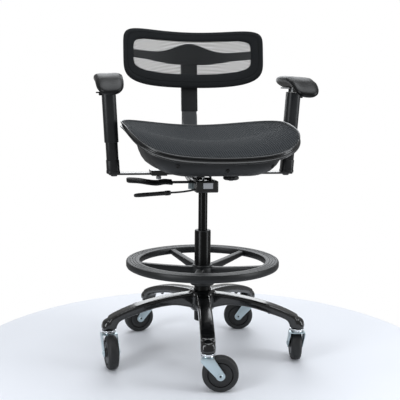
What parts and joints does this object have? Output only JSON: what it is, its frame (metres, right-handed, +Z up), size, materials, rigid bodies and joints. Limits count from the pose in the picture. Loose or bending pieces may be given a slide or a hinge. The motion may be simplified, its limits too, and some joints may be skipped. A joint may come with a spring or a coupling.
{
  "type": "drafting chair",
  "caption": "Tall swivel work chair with a mesh seat and low mesh back, height-adjustable arms, a spoked foot ring on the column and a star base on casters.",
  "frame": {"origin": "centre of the bounding box footprint, on the floor under the wheels", "axes": "+Z up, -Y towards the front of the seat, +X towards the viewer's right when the chair is seen from the front"},
  "size_m": [0.6536, 0.6312, 1.0256],
  "materials": {
    "base_black": "glossy black",
    "tube_black": "semi-gloss black paint",
    "plastic_black": "matte black",
    "ring_black": "satin black moulding",
    "steel_black": "black powder coat",
    "steel": "plain steel",
    "zinc": "bright zinc plating",
    "chrome": "bright chrome",
    "wheel_grey": "dark grey nylon",
    "tyre_rubber": "dark grey soft tread",
    "shell_charcoal": "charcoal, fine grain",
    "seat_cloth": "tight dark grey woven mesh",
    "band_cloth": "dark mesh stretched over a moulded band",
    "back_cloth": "open light mesh with fine dark dashes",
    "pad_skin": "soft moulded skin with a low sheen"
  },
  "bodies": {
    "base": {"star_base": "base_black", "outer_tube": "tube_black", "guide_bush": "plastic_black", "thrust_bearing": "steel", "piston_rod": "steel", "caster_stem_1": "chrome", "caster_stem_2": "chrome", "caster_stem_3": "chrome", "caster_stem_4": "chrome", "caster_stem_5": "chrome"},
    "foot_ring": {"foot_ring": "ring_black"},
    "column": {"lift_cylinder": "tube_black"},
    "button": {"release_button": "steel"},
    "mechanism": {"mech_housing": "steel_black", "tilt_axle": "steel", "recline_axle": "steel", "lever_bracket": "zinc"},
    "height_lever": {"height_lever": "steel_black", "height_grip": "plastic_black"},
    "paddle": {"tilt_paddle": "plastic_black"},
    "seat": {"seat_plate": "steel_black", "seat_pan": "shell_charcoal", "seat_frame": "shell_charcoal", "seat_mesh": "seat_cloth"},
    "lock_lever": {"lock_lever": "steel_black"},
    "clamp_bolt": {"clamp_bolt": "steel"},
    "clamp_knob": {"clamp_knob": "plastic_black"},
    "spine": {"back_bar": "tube_black"},
    "back": {"back_jacket": "shell_charcoal", "back_support": "plastic_black", "back_frame": "band_cloth", "back_mesh": "back_cloth"},
    "caster_1": {"caster_fork_1": "zinc"},
    "wheel_1": {"wheel_core_1": "wheel_grey", "tyre_1": "tyre_rubber"},
    "caster_2": {"caster_fork_2": "zinc"},
    "wheel_2": {"wheel_core_2": "wheel_grey", "tyre_2": "tyre_rubber"},
    "caster_3": {"caster_fork_3": "zinc"},
    "wheel_3": {"wheel_core_3": "wheel_grey", "tyre_3": "tyre_rubber"},
    "caster_4": {"caster_fork_4": "zinc"},
    "wheel_4": {"wheel_core_4": "wheel_grey", "tyre_4": "tyre_rubber"},
    "caster_5": {"caster_fork_5": "zinc"},
    "wheel_5": {"wheel_core_5": "wheel_grey", "tyre_5": "tyre_rubber"},
    "arm_left": {"arm_bar_left": "steel_black", "arm_post_left": "plastic_black"},
    "sleeve_left": {"arm_sleeve_left": "shell_charcoal"},
    "release_left": {"arm_lever_left": "plastic_black"},
    "pad_left": {"pad_plate_left": "steel_black", "arm_pad_left": "pad_skin"},
    "arm_right": {"arm_bar_right": "steel_black", "arm_post_right": "plastic_black"},
    "sleeve_right": {"arm_sleeve_right": "shell_charcoal"},
    "release_right": {"arm_lever_right": "plastic_black"},
    "pad_right": {"pad_plate_right": "steel_black", "arm_pad_right": "pad_skin"}
  },
  "joints": [
    {"name": "caster_swivel_1", "type": "hinge", "parent": "base", "child": "caster_1", "pos_m": [-0.03735, -0.28325, 0.1], "axis": [0, 0, 1], "continuous": true},
    {"name": "wheel_roll_1", "type": "hinge", "parent": "caster_1", "child": "wheel_1", "pos_m": [-0.00392, -0.28944, 0.05], "axis": [0.1822, 0.9833, 0], "continuous": true},
    {"name": "caster_swivel_2", "type": "hinge", "parent": "base", "child": "caster_2", "pos_m": [0.26964, -0.11448, 0.1], "axis": [0, 0, 1], "continuous": true},
    {"name": "wheel_roll_2", "type": "hinge", "parent": "caster_2", "child": "wheel_2", "pos_m": [0.27583, -0.08105, 0.05], "axis": [-0.9833, 0.1822, 0], "continuous": true},
    {"name": "caster_swivel_3", "type": "hinge", "parent": "base", "child": "caster_3", "pos_m": [0.204, 0.22964, 0.1], "axis": [0, 0, 1], "continuous": true},
    {"name": "wheel_roll_3", "type": "hinge", "parent": "caster_3", "child": "wheel_3", "pos_m": [0.17056, 0.23583, 0.05], "axis": [-0.1822, -0.9833, 0], "continuous": true},
    {"name": "caster_swivel_4", "type": "hinge", "parent": "base", "child": "caster_4", "pos_m": [-0.14356, 0.27354, 0.1], "axis": [0, 0, 1], "continuous": true},
    {"name": "wheel_roll_4", "type": "hinge", "parent": "caster_4", "child": "wheel_4", "pos_m": [-0.17648, 0.26503, 0.05], "axis": [0.2504, -0.9681, 0], "continuous": true},
    {"name": "caster_swivel_5", "type": "hinge", "parent": "base", "child": "caster_5", "pos_m": [-0.29272, -0.04344, 0.1], "axis": [0, 0, 1], "continuous": true},
    {"name": "wheel_roll_5", "type": "hinge", "parent": "caster_5", "child": "wheel_5", "pos_m": [-0.2877, -0.07706, 0.05], "axis": [0.989, 0.1478, 0], "continuous": true},
    {"name": "foot_ring_height", "type": "slide", "parent": "base", "child": "foot_ring", "axis": [0, 0, 1], "range_m": [-0.01, 0.05]},
    {"name": "seat_height", "type": "slide", "parent": "base", "child": "column", "axis": [0, 0, 1], "range_m": [-0.1, 0.09]},
    {"name": "button_press", "type": "slide", "parent": "column", "child": "button", "axis": [0, 0, 1], "range_m": [-0.0036, 0]},
    {"name": "seat_swivel", "type": "hinge", "parent": "column", "child": "mechanism", "pos_m": [0, 0.0124, 0.53], "axis": [0, 0, 1], "continuous": true},
    {"name": "lever_lift", "type": "hinge", "parent": "mechanism", "child": "height_lever", "pos_m": [-0.03, -0.0326, 0.56], "axis": [0, 1, 0], "range_deg": [0, 6]},
    {"name": "paddle_turn", "type": "hinge", "parent": "mechanism", "child": "paddle", "pos_m": [-0.034, -0.0076, 0.545], "axis": [1, 0, 0], "range_deg": [-12, 12]},
    {"name": "seat_tilt", "type": "hinge", "parent": "mechanism", "child": "seat", "pos_m": [0, 0.0424, 0.54], "axis": [-1, 0, 0], "range_deg": [0, 6]},
    {"name": "back_recline", "type": "hinge", "parent": "mechanism", "child": "spine", "pos_m": [0, 0.0604, 0.534], "axis": [-1, 0, 0], "range_deg": [-4, 14]},
    {"name": "back_height", "type": "slide", "parent": "spine", "child": "back", "axis": [0, 0.1219, 0.9925], "range_m": [-0.045, 0.03]},
    {"name": "lock_turn", "type": "hinge", "parent": "seat", "child": "lock_lever", "pos_m": [0.062, 0.0904, 0.563], "axis": [0, 0, 1], "range_deg": [-10, 10]},
    {"name": "clamp_bolt_turn", "type": "hinge", "parent": "seat", "child": "clamp_bolt", "pos_m": [-0.134, 0.0374, 0.555], "axis": [0, 0, 1], "continuous": true},
    {"name": "clamp_knob_turn", "type": "hinge", "parent": "seat", "child": "clamp_knob", "pos_m": [0.093, 0.0374, 0.552], "axis": [0, 0, 1], "continuous": true},
    {"name": "arm_width_left", "type": "slide", "parent": "seat", "child": "arm_left", "axis": [-1, 0, 0], "range_m": [0, 0.03]},
    {"name": "arm_height_left", "type": "slide", "parent": "arm_left", "child": "sleeve_left", "axis": [-0.0523, -0.0523, 0.9973], "range_m": [-0.045, 0.04]},
    {"name": "arm_release_left", "type": "hinge", "parent": "sleeve_left", "child": "release_left", "pos_m": [-0.30589, 0.02476, 0.81263], "axis": [0, 0.9986, 0.0523], "range_deg": [0, 10]},
    {"name": "pad_swivel_left", "type": "hinge", "parent": "sleeve_left", "child": "pad_left", "pos_m": [-0.28498, 0.02444, 0.81872], "axis": [-0.0523, -0.0523, 0.9973], "range_deg": [-20, 20]},
    {"name": "arm_width_right", "type": "slide", "parent": "seat", "child": "arm_right", "axis": [1, 0, 0], "range_m": [0, 0.03]},
    {"name": "arm_height_right", "type": "slide", "parent": "arm_right", "child": "sleeve_right", "axis": [0.0523, -0.0523, 0.9973], "range_m": [-0.045, 0.04]},
    {"name": "arm_release_right", "type": "hinge", "parent": "sleeve_right", "child": "release_right", "pos_m": [0.30589, 0.02476, 0.81263], "axis": [0, -0.9986, -0.0523], "range_deg": [0, 10]},
    {"name": "pad_swivel_right", "type": "hinge", "parent": "sleeve_right", "child": "pad_right", "pos_m": [0.28498, 0.02444, 0.81872], "axis": [0.0523, -0.0523, 0.9973], "range_deg": [-20, 20]}
  ],
  "couplings": [
    {"joint": "button_press", "follows": "lever_lift", "m_per_rad": -0.034377}
  ]
}
